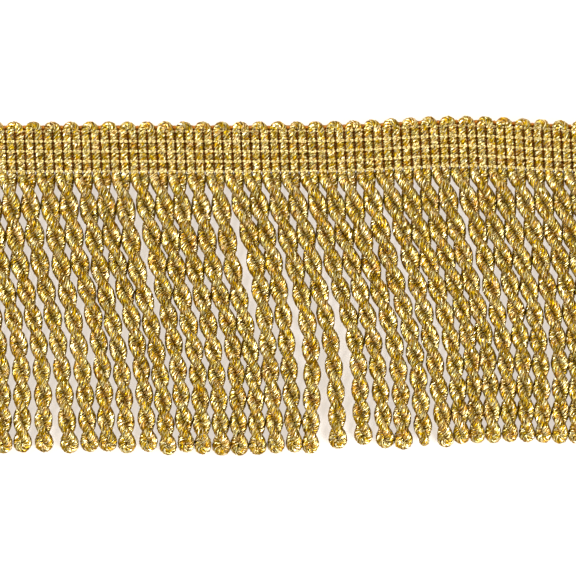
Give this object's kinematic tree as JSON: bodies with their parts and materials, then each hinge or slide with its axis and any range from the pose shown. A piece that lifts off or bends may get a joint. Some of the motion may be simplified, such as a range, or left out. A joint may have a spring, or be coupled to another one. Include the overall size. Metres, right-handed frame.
{
  "type": "cord fringe trim",
  "caption": "Cut length of gold bullion fringe: a narrow knitted heading with looped top edge and chain-stitch rows, from which twisted two-ply cords hang.",
  "frame": {"origin": "middle of the heading's flat back, on the surface that the trim lies on", "axes": "+X along the heading, +Y towards its looped top edge, +Z out of the face"},
  "size_m": [0.1306, 0.0617, 0.0026],
  "materials": {
    "gimp_yarn": "metallised film wound over a core yarn, glittering",
    "chain_thread": "fine metallic thread, bright"
  },
  "bodies": {
    "root": {"heading": "gimp_yarn", "cord_fringe": "gimp_yarn", "chain_row_1": "chain_thread", "chain_row_2": "chain_thread", "chain_row_3": "chain_thread", "chain_row_4": "chain_thread", "chain_row_5": "chain_thread"}
  },
  "joints": []
}
